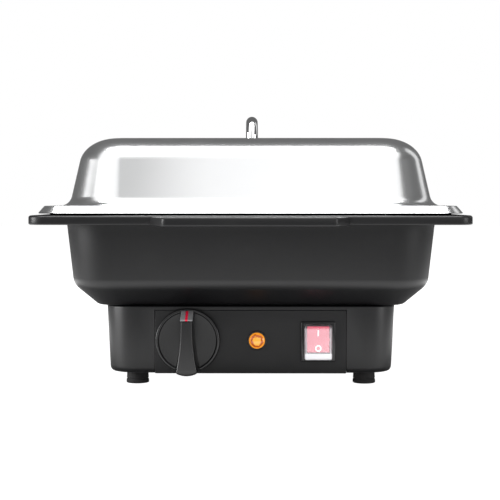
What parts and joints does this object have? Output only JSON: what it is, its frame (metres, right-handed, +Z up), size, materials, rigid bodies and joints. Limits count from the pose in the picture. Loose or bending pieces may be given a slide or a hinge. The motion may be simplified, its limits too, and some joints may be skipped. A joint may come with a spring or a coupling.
{
  "type": "electric buffet server",
  "caption": "Electric buffet server: black heated water basin with end grips on a low base, lift-out food pan, domed steel lid with rod handle, thermostat knob, pilot lamp and rocker switch.",
  "frame": {"origin": "middle of the footprint, on the table", "axes": "+Z up, +Y along the length away from the controls, +X to the right seen from the controls"},
  "size_m": [0.355, 0.604, 0.2347],
  "materials": {
    "black_plastic": "fine-grained black heat-resistant plastic",
    "panel_plastic": "fine-grained black plastic",
    "knob_plastic": "satin black plastic",
    "gloss_black": "glossy black plastic",
    "grey_plastic": "silver-grey plastic with a red pointer line",
    "cream_plastic": "moulded insulating plastic",
    "brushed_steel": "satin stainless steel",
    "pan_steel": "drawn stainless steel",
    "polished_steel": "polished stainless steel",
    "zinc_steel": "zinc-plated steel",
    "aluminium": "pressed sheet",
    "copper": "drawn copper",
    "foot_rubber": "moulded black rubber",
    "red_silicone": "red silicone",
    "mineral_wool": "pressed fibre",
    "amber_lens": "lit amber lens",
    "pink_rocker": "translucent red plastic, lit from inside",
    "clear_silicone": "clear soft splash cover",
    "insulated_lead": "heat-proof sleeve"
  },
  "bodies": {
    "base": {"water_basin": "black_plastic", "base_housing": "black_plastic", "control_panel": "panel_plastic", "base_plate": "zinc_steel", "foot_front_left": "foot_rubber", "foot_front_right": "foot_rubber", "foot_rear_left": "foot_rubber", "foot_rear_right": "foot_rubber", "foot_screw_front_left": "zinc_steel", "foot_screw_front_right": "zinc_steel", "foot_screw_rear_left": "zinc_steel", "foot_screw_rear_right": "zinc_steel", "basin_screw_front_left": "zinc_steel", "basin_screw_front_right": "zinc_steel", "basin_screw_rear_left": "zinc_steel", "basin_screw_rear_right": "zinc_steel", "heater_plate": "brushed_steel", "heater_gasket": "red_silicone", "heating_element": "zinc_steel", "heat_shield": "aluminium", "insulation_disc": "mineral_wool", "heater_nut_1": "zinc_steel", "heater_nut_2": "zinc_steel", "heater_nut_3": "zinc_steel", "thermal_cutout": "cream_plastic", "thermostat_body": "cream_plastic", "thermostat_capillary": "copper", "thermostat_screw_left": "zinc_steel", "thermostat_screw_right": "zinc_steel", "lamp_body": "gloss_black", "lamp_lens": "amber_lens", "lamp_nut": "gloss_black", "switch_body": "gloss_black", "switch_cover": "clear_silicone", "cable_gland": "black_plastic", "gland_nut": "black_plastic", "terminal_block": "cream_plastic", "lead_terminal_to_switch": "insulated_lead", "lead_switch_to_lamp": "insulated_lead", "lead_terminal_to_element": "insulated_lead", "lead_thermostat_to_element": "insulated_lead"},
    "pan": {"food_pan": "pan_steel"},
    "lid": {"lid_shell": "brushed_steel", "lid_handle": "polished_steel", "handle_washer_front": "zinc_steel", "handle_washer_rear": "zinc_steel", "handle_nut_front": "zinc_steel", "handle_nut_rear": "zinc_steel"},
    "knob": {"knob": "knob_plastic", "knob_insert": "grey_plastic", "thermostat_shaft": "zinc_steel"},
    "rocker": {"switch_rocker": "pink_rocker"}
  },
  "joints": [
    {"name": "pan_lift", "type": "slide", "parent": "base", "child": "pan", "axis": [0, 0, 1], "range_m": [0, 0.12]},
    {"name": "lid_lift", "type": "slide", "parent": "pan", "child": "lid", "axis": [0, 0, 1], "range_m": [0, 0.15]},
    {"name": "knob_turn", "type": "hinge", "parent": "base", "child": "knob", "pos_m": [-0.0519, -0.2346, 0.0387], "axis": [0, 1, 0], "range_deg": [0, 270]},
    {"name": "rocker_tip", "type": "hinge", "parent": "base", "child": "rocker", "pos_m": [0.0559, -0.2326, 0.03915], "axis": [1, 0, 0], "range_deg": [0, 16]}
  ]
}
